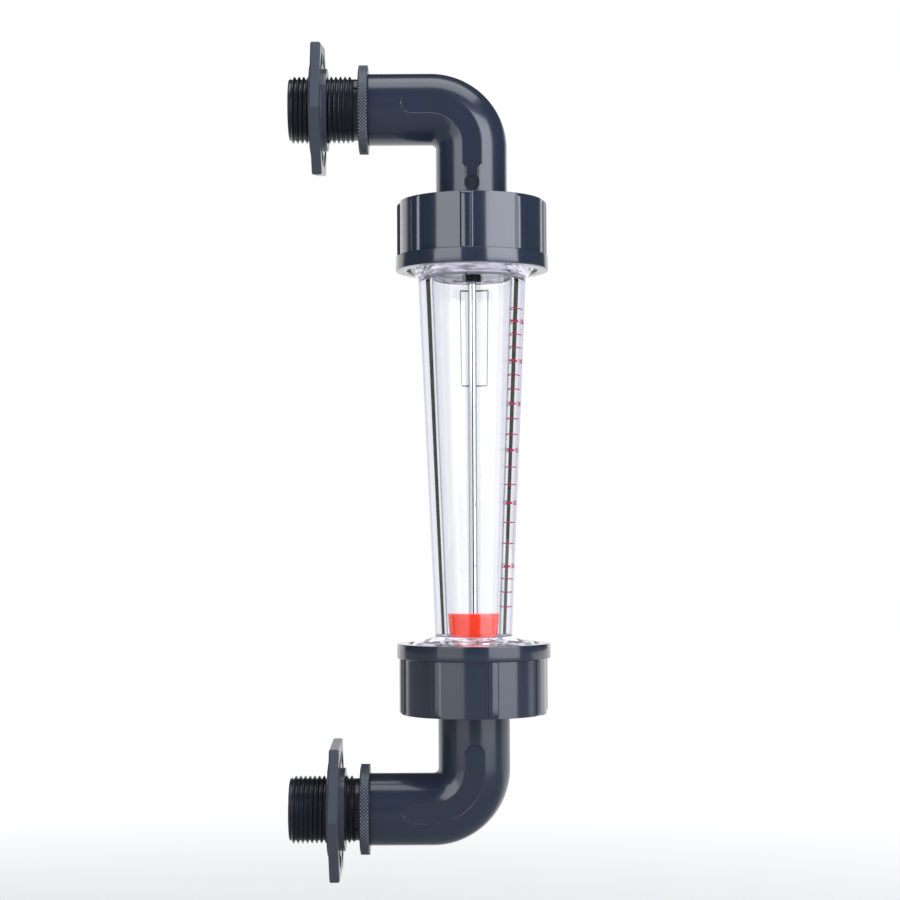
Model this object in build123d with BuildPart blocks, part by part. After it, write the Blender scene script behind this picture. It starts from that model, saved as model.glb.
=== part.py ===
from build123d import *
import os

os.makedirs("parts", exist_ok=True)

# A short-tube rotameter for panel mounting: a clear tapered tube stands between two
# elbows whose threaded nipples both point along -X. Z is up, the lower port lies on the
# X axis, and the collar of its nipple meets the panel at X = 0. Sizes are millimetres.

# Driving dimensions of the instrument
port_spacing = 350.0
port_offset = 56.5
port_bore = 25.0
float_diameter = 25.4

# Threaded nipple, G1 pipe thread drawn as rings
thread_diameter = 33.25
thread_pitch = 2.309
thread_depth = 1.48
thread_crest = 0.5
nipple_length = 35.0
undercut_length = 3.5
undercut_depth = 1.3
collar_diameter = 44.6
collar_thickness = 4.8
collar_chamfer = 0.9
spigot_diameter = 30.0
spigot_length = 14.0
gate_angle = 221.0
gate_width = 5.2
gate_height = 1.0

# Elbow
elbow_diameter = 35.7
elbow_bore = 26.5
bend_radius = 20.5
glue_gap = 0.02
pad_width = 10.3
pad_sink = 1.05
pad_start = 26.6
pad_top = 32.0
pad_chamfer = 2.0
pad_neck_width = 6.3
mark_height = 40.0
mark_diameter = 7.5
mark_sink = 1.65

# Union: tailpiece, seal ring and union nut, as heights above the lower port axis
nut_bottom = 47.0
nut_wall_top = 52.0
elbow_leg_top = 57.5
tailpiece_top = 60.0
tube_bottom = 60.3
nut_top = 82.0
nut_cavity_top = 60.0
band_height = 7.2
band_diameter = 76.6
band_edge = 0.6
panel_diameter = 72.4
rib_height = 1.4
rib_width = 5.2
rib_fillet = 0.6
rib_count = 8
lower_rib_angle = -76.0
upper_rib_angle = -95.0
nut_corner = 2.2
nut_hole_diameter = 36.3
flange_diameter = 61.0
flange_clearance = 0.35
union_thread_diameter = 64.7
union_thread_clearance = 0.2
thread_edge = 0.5
seal_margin = 2.1
seal_width = 2.6
seal_groove_bottom = 57.6
seal_groove_clearance = 0.05
seal_fillet = 1.0

# Measuring tube: wall and bore widen upwards along two straight tapers
taper_low = 90.9
taper_high = 248.9
outer_radius_low = 19.3
outer_radius_high = 26.3
bore_radius_low = 13.7
bore_radius_high = 19.75
flare_tip_radius = 29.75
shoulder_height = 79.5
flare_tip_height = 82.5
flare_root_height = 85.7
flare_fillet = 1.4

# Rod, its supports and its stops
rod_diameter = 4.0
rod_end_diameter = 3.0
rod_clearance = 0.1
hub_diameter = 8.5
spoke_width = 3.6
spoke_count = 4
lower_support_top = 68.0
lower_support_diameter = 43.8
lower_ring_wall = 3.2
upper_support_bottom = 266.0
upper_support_diameter = 41.0
upper_ring_wall = 2.4
upper_hub_height = 9.0
upper_flange_diameter = 48.0
upper_flange_height = 4.5
support_clearance = 0.1
buffer_diameter = 9.5
lower_buffer_height = 2.0
upper_buffer_height = 3.0
rod_nut_flats = 6.0
rod_nut_height = 2.4
rod_end_stub = 1.2

# Float
float_top = 97.0
float_lip_height = 1.6
float_taper = 0.087
float_hole_clearance = 0.25
float_edge = 0.35

# Locknuts on the nipples, as places along X
locknut_flats = 65.0
locknut_thickness = 5.0
locknut_edge = 0.6
locknut_boss_diameter = 46.0
locknut_boss_height = 1.3
locknut_hub_diameter = 41.0
locknut_hub_height = 2.3
locknut_bore_clearance = 0.12
pocket_count = 6
pocket_inner_radius = 23.2
pocket_outer_radius = 28.8
pocket_angle = 48.0
pocket_depth = 3.2
pocket_fillet = 1.0
inlet_locknut_place = -9.7
outlet_locknut_place = -18.0
inlet_locknut_turn = 3.0
outlet_locknut_turn = 9.0

# Values worked out from the above
thread_radius = thread_diameter / 2
elbow_radius = elbow_diameter / 2
bore_radius = port_bore / 2
spigot_radius = spigot_diameter / 2
rod_radius = rod_diameter / 2
rod_end_radius = rod_end_diameter / 2
union_radius = union_thread_diameter / 2
seal_outer_radius = flange_diameter / 2 - seal_margin
pad_plane = elbow_radius - pad_sink
mark_plane = elbow_radius - mark_sink
rib_diameter = panel_diameter + 2 * rib_height
bend_start = port_offset - bend_radius
middle_height = port_spacing / 2
tube_top = port_spacing - tube_bottom
tube_axis = Axis((port_offset, 0, 0), (0, 0, 1))
mirror_plane = Plane.XY.offset(middle_height)
outer_taper = (outer_radius_high - outer_radius_low) / (taper_high - taper_low)
bore_taper = (bore_radius_high - bore_radius_low) / (taper_high - taper_low)


def outer_radius(z):
    return outer_radius_low + outer_taper * (z - taper_low)


def inner_radius(z):
    return bore_radius_low + bore_taper * (z - taper_low)


def turned(*points, rounded=(), rounding=0):
    # A ring turned about the tube axis from a section of radii and heights
    with BuildPart() as ring:
        with BuildSketch(Plane.XZ) as section:
            with BuildLine():
                Polyline(*[(port_offset + r, z) for r, z in points], close=True)
            make_face()
            for radius, z in rounded:
                corner = Vector(port_offset + radius, 0, z)
                fillet(section.vertices().sort_by_distance(corner)[0], rounding)
        revolve(axis=tube_axis)
    return ring.part


def bar(radius, bottom, top):
    # A round bar on the tube axis
    with BuildPart() as rod:
        with BuildSketch(Plane.XY.offset(bottom)):
            with Locations((port_offset, 0)):
                Circle(radius)
        extrude(amount=top - bottom)
    return rod.part


# Threaded nipple: bore, thread, collar against the panel and a spigot for the elbow
groove_count = int((nipple_length - undercut_length) / thread_pitch)
groove_half_width = (thread_pitch - thread_crest) / 2
thread_root = thread_radius - thread_depth
thread_groove = [(-groove_half_width, 0), (0, -thread_depth), (groove_half_width, 0)]
nipple_end = collar_thickness + spigot_length
with BuildPart() as inlet_nipple:
    with BuildSketch(Plane.XZ):
        with BuildLine():
            outline = [(-nipple_length, bore_radius), (-nipple_length, thread_root)]
            for index in reversed(range(groove_count)):
                groove = -undercut_length - thread_pitch * (index + 0.5)
                outline += [(groove + dx, thread_radius + dr) for dx, dr in thread_groove]
            outline += [
                (-undercut_length, thread_radius - undercut_depth),
                (0, thread_radius - undercut_depth),
                (0, collar_diameter / 2 - collar_chamfer),
                (collar_chamfer, collar_diameter / 2),
                (collar_thickness - collar_chamfer, collar_diameter / 2),
                (collar_thickness, collar_diameter / 2 - collar_chamfer),
                (collar_thickness, spigot_radius),
                (nipple_end, spigot_radius),
                (nipple_end, bore_radius),
            ]
            Polyline(*outline, close=True)
        make_face()
    revolve(axis=Axis.X)
    # The moulding gate, a small block left standing in the undercut
    with BuildSketch(Plane.YZ.offset(-undercut_length)):
        with PolarLocations(thread_radius - undercut_depth, 1, gate_angle):
            Rectangle(2 * gate_height, gate_width)
    extrude(amount=undercut_length)

with BuildPart() as outlet_nipple:
    mirror(inlet_nipple.part, about=mirror_plane)


def pad_outline():
    # The flat that runs along the bend, with a neck toward the union nut
    half = pad_width / 2
    neck = pad_neck_width / 2
    outer = port_offset + half
    inner = port_offset - half
    with BuildSketch() as outline:
        with BuildLine():
            Line((pad_start, -half), (bend_start, -half))
            RadiusArc((bend_start, -half), (outer, bend_radius), -(bend_radius + half))
            Polyline(
                (outer, bend_radius),
                (outer, pad_top - pad_chamfer),
                (port_offset + neck, pad_top),
                (port_offset + neck, mark_height),
                (port_offset - neck, mark_height),
                (port_offset - neck, pad_top),
                (inner, pad_top - pad_chamfer),
                (inner, bend_radius),
            )
            RadiusArc((inner, bend_radius), (bend_start, half), bend_radius - half)
            Line((bend_start, half), (pad_start, half))
            ThreePointArc((pad_start, half), (pad_start - half, 0), (pad_start, -half))
        make_face()
    return outline.sketch


# Elbow: a bent pipe with a socket for the nipple and a flat pad on each side
with BuildPart() as inlet_elbow:
    with BuildLine(Plane.XZ):
        Line((collar_thickness, 0), (bend_start, 0))
        TangentArc((bend_start, 0), (port_offset, bend_radius), tangent=(1, 0))
        Line((port_offset, bend_radius), (port_offset, elbow_leg_top))
    with BuildSketch(Plane.YZ.offset(collar_thickness)):
        Circle(elbow_radius)
        Circle(elbow_bore / 2, mode=Mode.SUBTRACT)
    sweep()
    with BuildSketch(Plane.YZ.offset(collar_thickness)):
        Circle(spigot_radius + glue_gap)
    extrude(amount=spigot_length, mode=Mode.SUBTRACT)
    for side in (1, -1):
        with BuildSketch(Plane.XZ.offset(side * pad_plane)):
            add(pad_outline())
        extrude(amount=side * bore_radius, mode=Mode.SUBTRACT)
        with BuildSketch(Plane.XZ.offset(side * mark_plane)):
            with Locations((port_offset, mark_height)):
                Circle(mark_diameter / 2)
        extrude(amount=side * bore_radius, mode=Mode.SUBTRACT)

with BuildPart() as outlet_elbow:
    mirror(inlet_elbow.part, about=mirror_plane)

# Tailpiece: the flanged ring on the elbow's leg that the union nut pulls on
seal_outer_wall = seal_outer_radius + seal_groove_clearance
seal_inner_wall = seal_outer_radius - seal_width - seal_groove_clearance
with BuildPart() as inlet_tailpiece:
    add(
        turned(
            (elbow_radius + glue_gap, nut_wall_top),
            (flange_diameter / 2, nut_wall_top),
            (flange_diameter / 2, tailpiece_top),
            (seal_outer_wall, tailpiece_top),
            (seal_outer_wall, seal_groove_bottom),
            (seal_inner_wall, seal_groove_bottom),
            (seal_inner_wall, tailpiece_top),
            (bore_radius, tailpiece_top),
            (bore_radius, elbow_leg_top),
            (elbow_radius + glue_gap, elbow_leg_top),
        )
    )

with BuildPart() as outlet_tailpiece:
    mirror(inlet_tailpiece.part, about=mirror_plane)

# Seal ring, squeezed between the groove and the end of the tube
seal_middle_radius = seal_outer_radius - seal_width / 2
seal_middle_height = (seal_groove_bottom + tube_bottom) / 2
seal_height = tube_bottom - seal_groove_bottom
with BuildPart() as inlet_seal_ring:
    with BuildSketch(Plane.XZ):
        with Locations((port_offset + seal_middle_radius, seal_middle_height)):
            RectangleRounded(seal_width, seal_height, seal_fillet)
    revolve(axis=tube_axis)

with BuildPart() as outlet_seal_ring:
    mirror(inlet_seal_ring.part, about=mirror_plane)


def union_nut(rib_angle):
    # Ribbed body and plain band, rounded at the closed end and hollow for the thread
    band_bottom = nut_top - band_height
    band_radius = band_diameter / 2
    thread_wall = union_radius + union_thread_clearance
    cavity_radius = flange_diameter / 2 + flange_clearance
    with BuildPart() as nut:
        with BuildSketch(Plane.XY.offset(nut_bottom)) as ribbed:
            with Locations((port_offset, 0)):
                Circle(panel_diameter / 2)
                with PolarLocations(rib_diameter / 4, rib_count, rib_angle):
                    Rectangle(rib_diameter / 2, rib_width)
            fillet(ribbed.vertices(), rib_fillet)
        extrude(amount=nut_top - nut_bottom)
        # The closed end is rounded over, ribs included
        with BuildSketch(Plane.XZ):
            with BuildLine():
                corner = port_offset + rib_diameter / 2
                Polyline(
                    (port_offset, nut_top),
                    (port_offset, nut_bottom),
                    (corner - nut_corner, nut_bottom),
                )
                RadiusArc(
                    (corner - nut_corner, nut_bottom),
                    (corner, nut_bottom + nut_corner),
                    -nut_corner,
                )
                Polyline(
                    (corner, nut_bottom + nut_corner),
                    (corner, nut_top),
                    (port_offset, nut_top),
                )
            make_face()
        revolve(axis=tube_axis, mode=Mode.INTERSECT)
        add(
            turned(
                (union_radius, band_bottom),
                (band_radius - band_edge, band_bottom),
                (band_radius, band_bottom + band_edge),
                (band_radius, nut_top - band_edge),
                (band_radius - band_edge, nut_top),
                (union_radius, nut_top),
            )
        )
        hollow = turned(
            (0, nut_bottom),
            (nut_hole_diameter / 2, nut_bottom),
            (nut_hole_diameter / 2, nut_wall_top),
            (cavity_radius, nut_wall_top),
            (cavity_radius, nut_cavity_top),
            (thread_wall - thread_edge, nut_cavity_top),
            (thread_wall, nut_cavity_top + thread_edge),
            (thread_wall, nut_top - thread_edge),
            (thread_wall + thread_edge, nut_top),
            (0, nut_top),
        )
        add(hollow, mode=Mode.SUBTRACT)
    return nut.part


with BuildPart() as lower_union_nut:
    add(union_nut(lower_rib_angle))

with BuildPart() as upper_union_nut:
    mirror(union_nut(upper_rib_angle), about=mirror_plane)

# Measuring tube: threaded ends, flares and a tapered bore, one clear moulding
lower_seat_radius = lower_support_diameter / 2 + support_clearance
upper_seat_radius = upper_support_diameter / 2 + support_clearance
upper_flange_seat = upper_flange_diameter / 2 + support_clearance
upper_flange_bottom = tube_top - upper_flange_height
flare_top = port_spacing - flare_root_height
lower_root = (outer_radius(flare_root_height), flare_root_height)
upper_root = (outer_radius(flare_top), flare_top)
with BuildPart() as measuring_tube:
    add(
        turned(
            (lower_seat_radius, tube_bottom),
            (union_radius - thread_edge, tube_bottom),
            (union_radius, tube_bottom + thread_edge),
            (union_radius, shoulder_height),
            (flare_tip_radius, flare_tip_height),
            lower_root,
            upper_root,
            (flare_tip_radius, port_spacing - flare_tip_height),
            (union_radius, port_spacing - shoulder_height),
            (union_radius, tube_top - thread_edge),
            (union_radius - thread_edge, tube_top),
            (upper_flange_seat, tube_top),
            (upper_flange_seat, upper_flange_bottom),
            (upper_seat_radius, upper_flange_bottom),
            (upper_seat_radius, upper_support_bottom),
            (inner_radius(upper_support_bottom), upper_support_bottom),
            (inner_radius(lower_support_top), lower_support_top),
            (lower_seat_radius, lower_support_top),
            rounded=(lower_root, upper_root),
            rounding=flare_fillet,
        )
    )


def spoked_hub(ring_radius, bottom, top):
    # Hub and spokes out to the middle of a ring's wall, with a hole for the rod's end
    with BuildPart() as hub:
        with BuildSketch(Plane.XY.offset(bottom)):
            with Locations((port_offset, 0)):
                Circle(hub_diameter / 2)
                with PolarLocations(ring_radius / 2, spoke_count):
                    Rectangle(ring_radius, spoke_width)
                Circle(rod_end_radius + glue_gap, mode=Mode.SUBTRACT)
        extrude(amount=top - bottom)
    return hub.part


# Lower support, trapped between the tube and the tailpiece
lower_ring_outer = lower_support_diameter / 2
lower_ring_inner = lower_ring_outer - lower_ring_wall
lower_ring_middle = (lower_ring_outer + lower_ring_inner) / 2
with BuildPart() as lower_rod_support:
    add(
        turned(
            (lower_ring_inner, tube_bottom),
            (lower_ring_outer, tube_bottom),
            (lower_ring_outer, lower_support_top),
            (lower_ring_inner, lower_support_top),
        )
    )
    add(spoked_hub(lower_ring_middle, tube_bottom, lower_support_top))

# Upper support, a flanged sleeve dropped into the wide end of the tube
upper_ring_outer = upper_support_diameter / 2
upper_ring_inner = upper_ring_outer - upper_ring_wall
upper_ring_middle = (upper_ring_outer + upper_ring_inner) / 2
upper_hub_top = upper_support_bottom + upper_hub_height
with BuildPart() as upper_rod_support:
    add(
        turned(
            (upper_ring_inner, upper_support_bottom),
            (upper_ring_outer, upper_support_bottom),
            (upper_ring_outer, upper_flange_bottom),
            (upper_flange_diameter / 2, upper_flange_bottom),
            (upper_flange_diameter / 2, tube_top),
            (upper_ring_inner, tube_top),
        )
    )
    add(spoked_hub(upper_ring_middle, upper_support_bottom, upper_hub_top))

# Guide rod, shouldered against both hubs
lower_nut_bottom = tube_bottom - rod_nut_height
upper_nut_top = upper_hub_top + rod_nut_height
with BuildPart() as guide_rod:
    add(bar(rod_end_radius, lower_nut_bottom - rod_end_stub, upper_nut_top + rod_end_stub))
    add(bar(rod_radius, lower_support_top, upper_support_bottom))


def rod_nut(bottom):
    with BuildPart() as nut:
        with BuildSketch(Plane.XY.offset(bottom)):
            with Locations((port_offset, 0)):
                RegularPolygon(rod_nut_flats / 2, 6, major_radius=False)
                Circle(rod_end_radius + glue_gap, mode=Mode.SUBTRACT)
        extrude(amount=rod_nut_height)
    return nut.part


with BuildPart() as lower_rod_nut:
    add(rod_nut(lower_nut_bottom))

with BuildPart() as upper_rod_nut:
    add(rod_nut(upper_hub_top))


def stop_buffer(bottom, top):
    with BuildPart() as ring:
        add(bar(buffer_diameter / 2, bottom, top))
        add(bar(rod_radius + rod_clearance, bottom, top), mode=Mode.SUBTRACT)
    return ring.part


float_bottom = lower_support_top + lower_buffer_height
with BuildPart() as lower_stop_buffer:
    add(stop_buffer(lower_support_top, float_bottom))

with BuildPart() as upper_stop_buffer:
    add(stop_buffer(upper_support_bottom - upper_buffer_height, upper_support_bottom))

# Float: a sharp reading lip on a slightly conical body, bored for the rod
float_radius = float_diameter / 2
float_hole_radius = rod_radius + float_hole_clearance
float_lip_bottom = float_top - float_lip_height
float_base_radius = float_radius - float_taper * (float_lip_bottom - float_bottom)
with BuildPart() as float_body:
    add(
        turned(
            (float_hole_radius, float_bottom),
            (float_base_radius - float_edge, float_bottom),
            (float_base_radius, float_bottom + float_edge),
            (float_radius, float_lip_bottom),
            (float_radius, float_top - float_edge),
            (float_radius - float_edge, float_top),
            (float_hole_radius, float_top),
        )
    )


def pocket_outline():
    # One kidney-shaped pocket, centred on a corner of the hexagon
    start = -pocket_angle / 2
    with BuildSketch() as pocket:
        with BuildLine():
            outer = CenterArc((0, 0), pocket_outer_radius, start, pocket_angle)
            inner = CenterArc((0, 0), pocket_inner_radius, start, pocket_angle)
            Line(outer @ 0, inner @ 0)
            Line(outer @ 1, inner @ 1)
        make_face()
        fillet(pocket.vertices(), pocket_fillet)
    return pocket.sketch


def locknut(place, turn):
    # Hexagonal nut: a plate with a boss behind, a hub in front and six pockets
    with BuildPart() as nut:
        with BuildSketch(Plane.YZ.offset(place)):
            RegularPolygon(locknut_flats / 2, 6, major_radius=False, rotation=turn)
        extrude(amount=-locknut_thickness)
        chamfer(nut.faces().sort_by(Axis.X)[0].edges(), locknut_edge)
        chamfer(nut.faces().sort_by(Axis.X)[-1].edges(), locknut_edge)
        with BuildSketch(Plane.YZ.offset(place - locknut_thickness)):
            Circle(locknut_boss_diameter / 2)
        extrude(amount=-locknut_boss_height)
        with BuildSketch(Plane.YZ.offset(place)):
            Circle(locknut_hub_diameter / 2)
        extrude(amount=locknut_hub_height)
        with BuildSketch(Plane.YZ.offset(place)):
            with PolarLocations(0, pocket_count, turn):
                add(pocket_outline())
        extrude(amount=-pocket_depth, mode=Mode.SUBTRACT)
        with BuildSketch(Plane.YZ.offset(place + locknut_hub_height)):
            Circle(thread_radius + locknut_bore_clearance)
        extrude(amount=-4 * locknut_thickness, mode=Mode.SUBTRACT)
    return nut.part


with BuildPart() as inlet_locknut:
    add(locknut(inlet_locknut_place, inlet_locknut_turn))

with BuildPart() as outlet_locknut:
    with Locations((0, 0, port_spacing)):
        add(locknut(outlet_locknut_place, outlet_locknut_turn))

pieces = {
    "inlet_nipple": inlet_nipple,
    "outlet_nipple": outlet_nipple,
    "inlet_elbow": inlet_elbow,
    "outlet_elbow": outlet_elbow,
    "inlet_tailpiece": inlet_tailpiece,
    "outlet_tailpiece": outlet_tailpiece,
    "inlet_seal_ring": inlet_seal_ring,
    "outlet_seal_ring": outlet_seal_ring,
    "lower_union_nut": lower_union_nut,
    "upper_union_nut": upper_union_nut,
    "measuring_tube": measuring_tube,
    "lower_rod_support": lower_rod_support,
    "upper_rod_support": upper_rod_support,
    "guide_rod": guide_rod,
    "lower_rod_nut": lower_rod_nut,
    "upper_rod_nut": upper_rod_nut,
    "lower_stop_buffer": lower_stop_buffer,
    "upper_stop_buffer": upper_stop_buffer,
    "float_body": float_body,
    "inlet_locknut": inlet_locknut,
    "outlet_locknut": outlet_locknut,
}
for label, piece in pieces.items():
    piece.part.label = label
    export_step(piece.part, "parts/" + label + ".step")
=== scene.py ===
import math

import bmesh
import bpy
from mathutils import Matrix, Vector


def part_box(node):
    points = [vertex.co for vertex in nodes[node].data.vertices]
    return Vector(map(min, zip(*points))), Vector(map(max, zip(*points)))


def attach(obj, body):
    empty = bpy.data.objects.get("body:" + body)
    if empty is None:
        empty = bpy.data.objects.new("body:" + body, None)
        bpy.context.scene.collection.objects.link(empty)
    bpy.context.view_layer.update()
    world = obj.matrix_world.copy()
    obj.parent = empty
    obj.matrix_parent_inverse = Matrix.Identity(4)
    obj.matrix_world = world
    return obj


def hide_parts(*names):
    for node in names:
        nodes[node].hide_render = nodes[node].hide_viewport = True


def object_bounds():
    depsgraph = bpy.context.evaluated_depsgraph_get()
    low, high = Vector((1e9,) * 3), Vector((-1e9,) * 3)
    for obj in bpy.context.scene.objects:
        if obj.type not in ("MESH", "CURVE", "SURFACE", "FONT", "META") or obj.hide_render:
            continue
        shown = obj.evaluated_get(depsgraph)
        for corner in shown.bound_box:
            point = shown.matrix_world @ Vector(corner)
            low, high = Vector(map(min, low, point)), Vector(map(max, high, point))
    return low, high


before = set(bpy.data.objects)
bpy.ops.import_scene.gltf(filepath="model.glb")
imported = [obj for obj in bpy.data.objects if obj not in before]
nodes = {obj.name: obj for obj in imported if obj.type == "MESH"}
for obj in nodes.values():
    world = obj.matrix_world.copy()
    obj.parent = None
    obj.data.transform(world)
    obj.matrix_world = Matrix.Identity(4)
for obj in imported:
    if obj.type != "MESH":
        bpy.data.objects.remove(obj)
cad_low, cad_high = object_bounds()
MM = 0.001
EASE_STEPS = 4
EASE_SHARE = 0.45

# Sizes and places, in metres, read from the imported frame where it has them
tube_low, tube_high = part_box("measuring_tube")
TUBE_X = (tube_low.x + tube_high.x) / 2
PORT_SPACING = tube_low.z + tube_high.z
elbow_low, elbow_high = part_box("inlet_elbow")
ELBOW_RADIUS = (elbow_high.y - elbow_low.y) / 2
ELBOW_BORE_RADIUS = 13.25 * MM
ELBOW_START = elbow_low.x
ELBOW_LEG_TOP = elbow_high.z
BEND_RADIUS = 20.5 * MM
PAD_HALF_WIDTH = 5.15 * MM
PAD_PLANE = 16.8 * MM
PAD_START = 26.6 * MM
PAD_TOP = 32 * MM
PLAIN_PAD_TOP = 33 * MM
PAD_CHAMFER = 2 * MM
PAD_NECK_HALF = 3.15 * MM
MARK_HEIGHT = 40 * MM
MARK_RADIUS = 3.75 * MM
MARK_PLANE = 16.2 * MM
PAD_EDGE = 0.3 * MM
ELBOW_LIP = 0.35 * MM

nipple_low, nipple_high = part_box("inlet_nipple")
THREAD_PITCH = 2.309 * MM
THREAD_RADIUS = 16.625 * MM
THREAD_ROOT = 15.145 * MM
NIPPLE_FREE_END = nipple_low.x
NIPPLE_INNER_END = nipple_high.x
UNDERCUT = 2.2 * MM
UNDERCUT_RADIUS = 15.325 * MM
THREAD_FADE = 0.8 * THREAD_PITCH
PORT_BORE_RADIUS = 12.5 * MM
COLLAR_RADIUS = nipple_high.z
COLLAR_THICKNESS = elbow_low.x
COLLAR_CHAMFER = 0.9 * MM
SPIGOT_RADIUS = 15 * MM
KNURL_AROUND = 80
KNURL_ROWS = 5
KNURL_DEPTH = 0.34 * MM
KNURL_PITCH = 1.62 * MM
KNURL_TIP = 0.25 * KNURL_DEPTH
STUD_FOOT = 0.48
STUD_WAIST = 0.26
STUD_TOP = 0.05
STUD_FLANK = 0.7
KNURL_SHADING = 18
GATE_ANGLE = math.radians(221)
GATE_HALF_WIDTH = 2.6 * MM
GATE_HEIGHT = 1.0 * MM
GATE_SUNK = 0.6 * MM
GATE_EASE = 0.25 * MM

nut_low, nut_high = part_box("lower_union_nut")
NUT_BOTTOM = nut_low.z
NUT_TOP = nut_high.z
BAND_RADIUS = nut_high.y
BAND_HEIGHT = 7.2 * MM
PANEL_RADIUS = 36.2 * MM
RIB_RADIUS = 37.6 * MM
RIB_HALF_WIDTH = 2.6 * MM
RIB_SIDE = 1.1 * MM
RIB_COUNT = 8
LOWER_RIB_ANGLE = math.radians(-76)
UPPER_RIB_ANGLE = math.radians(-95)
NUT_CORNER = 2.2 * MM
NUT_LAND = 3 * MM
NUT_HOLE_RADIUS = 18.15 * MM
NUT_CHAMFER = 0.3 * MM
NUT_LIP = 0.4 * MM
NUT_MOUTH = 0.8 * MM
BAND_FILLET = 0.45 * MM
NUT_EASE = 0.55 * MM
LOCKNUT_EASE = 0.4 * MM
NUT_WALL_TOP = 52 * MM
NUT_CAVITY_RADIUS = 30.85 * MM
NUT_CAVITY_TOP = 60 * MM
NUT_THREAD_RADIUS = 32.55 * MM

# Measuring tube, whose outside and bore widen upward
TAPER_LOW = 90.9 * MM
TUBE_EASE = 0.9 * MM
OUTER_AT_LOW = 19.3 * MM
OUTER_SLOPE = 7.0 / 158.0
BORE_AT_LOW = 13.7 * MM
BORE_SLOPE = 6.05 / 158.0
FLARE_TIP_RADIUS = 29.75 * MM
FLARE_TIP = 82.5 * MM
FLARE_ROOT = 85.7 * MM
SHOULDER = 79.5 * MM
TUBE_THREAD_RADIUS = tube_high.y
TUBE_BOTTOM = tube_low.z
TUBE_TOP = tube_high.z
LOWER_SEAT_RADIUS = 22 * MM
LOWER_SEAT = 68 * MM
UPPER_SEAT_RADIUS = 20.6 * MM
UPPER_SEAT = 266 * MM
UPPER_FLANGE_RADIUS = 24.1 * MM
UPPER_FLANGE = 285.2 * MM

# Float and rod
float_low, float_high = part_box("float_body")
FLOAT_RADIUS = float_high.y
FLOAT_BASE_RADIUS = 10.49 * MM
FLOAT_HOLE = 2.25 * MM
FLOAT_LIP = 1.6 * MM
FLOAT_EASE = 0.3 * MM
rod_low, rod_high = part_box("guide_rod")
ROD_RADIUS = rod_high.y
ROD_END_RADIUS = 1.5 * MM
ROD_EASE = 0.15 * MM

# Scale on the tube, as angles from the camera side toward +X
SCALE_START = math.radians(46)
SCALE_MINOR = math.radians(26)
SCALE_MAJOR = math.radians(15)
SCALE_NUMBER = math.radians(63)
MINOR_HEIGHT = 0.5 * MM
MAJOR_HEIGHT = 1.0 * MM
NUMBER_SIZE = 3.4 * MM
TICK_THICKNESS = 0.06 * MM
PRINT_LIFT = 0.01 * MM
SCALE_ZERO = 65.2 * MM
SCALE_RISE = 55.0 * MM
SCALE_POWER = 0.65
FLOW_PER_NUMBER = 300
FLOW_PER_TICK = 100
FIRST_FLOW = 150
LAST_FLOW = 1900
FRAME_BOTTOM = 212 * MM
FRAME_TOP = 261 * MM
FRAME_HALF_WIDTH = 9.1 * MM
FRAME_LINE = 0.8 * MM
FRAME_TURN = math.pi - 0.066

# Camera of the photograph
CAMERA_PLACE = (45.1 * MM, -1015 * MM, 134 * MM)
CAMERA_LENS = 81.2
CAMERA_SENSOR = 36
CAMERA_PITCH = math.radians(2.5)
CAMERA_ROLL = math.radians(-0.26)

# Floor, and the light it gives to the camera, to gloss and to glass
FLOOR_HEIGHT = cad_low.z - 0.16
FLOOR_REACH = 6.0
FLOOR_GLOW_NEAR = 0.4
FLOOR_GLOW = 0.97
FLOOR_GLOW_SPAN = (0.4, 2.0)
FLOOR_IN_GLOSS = 0.22
FLOOR_BEHIND_IN_GLOSS = 0.9
FLOOR_BEHIND = (0.05, 0.5)

# Room: dim for diffuse light, nearly black in gloss, with two upright dark flags
ROOM_LIGHT = 0.6
ROOM_GREY = 0.04
FLAG_LIGHT = 0.006

# Where the studio's fields begin and end, as parts of a direction
LEFT_FLAG_START = (-0.60, -0.55)
LEFT_FLAG_END = (-0.84, -0.79)
RIGHT_FLAG_START = (0.53, 0.59)
RIGHT_FLAG_END = (0.79, 0.84)
BACKDROP_DEPTH = (0.1, 0.35)
BACKDROP_LEFT = (-0.86, -0.74)
BACKDROP_RIGHT = (0.55, 0.67)
BACKDROP_TOP = (0.15, 0.4)
LAMP_FIELD = (-0.915, -0.82)

# Lamps: two at each side, one over the other, and one overhead
LAMP_DISTANCE = 1.6
TALL_LAMP_MIDDLE = 0.9
TALL_LAMP_HEIGHT = 1.1
LOW_LAMP_MIDDLE = 0.1
LOW_LAMP_HEIGHT = 0.5
OVERHEAD_PLACE = (TUBE_X + 0.3, -0.1, 1.6)
LEFT_TINT = (0.95, 0.97, 1.0)
RIGHT_TINT = (0.88, 0.91, 1.0)

# Colours and finishes
PLASTIC_INDEX = 1.58
CLEAR_INDEX = 1.57
# Dark grazing tint of the steel: painted shade at the rod's edges
STEEL_EDGE_SHADE = (0.12, 0.12, 0.14)
# Colour of the painted glow on the tube's thick ends
PAINTED_END_GLOW = (0.88, 0.86, 1.0)
WARM_GLOSS = (1.0, 0.78, 0.5)
PAINT_MARGIN = 0.1 * MM


def outer_radius(z):
    return OUTER_AT_LOW + OUTER_SLOPE * (z - TAPER_LOW)


def bore_radius(z):
    return BORE_AT_LOW + BORE_SLOPE * (z - TAPER_LOW)


# Mesh helpers


def new_object(name, data):
    obj = bpy.data.objects.new(name, data)
    bpy.context.scene.collection.objects.link(obj)
    return obj


def mesh_of(name, vertices, faces):
    mesh = bpy.data.meshes.new(name)
    mesh.from_pydata(vertices, [], faces)
    return mesh


def shade(mesh, angle=35):
    mesh.shade_smooth()
    mesh.set_sharp_from_angle(angle=math.radians(angle))


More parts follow.
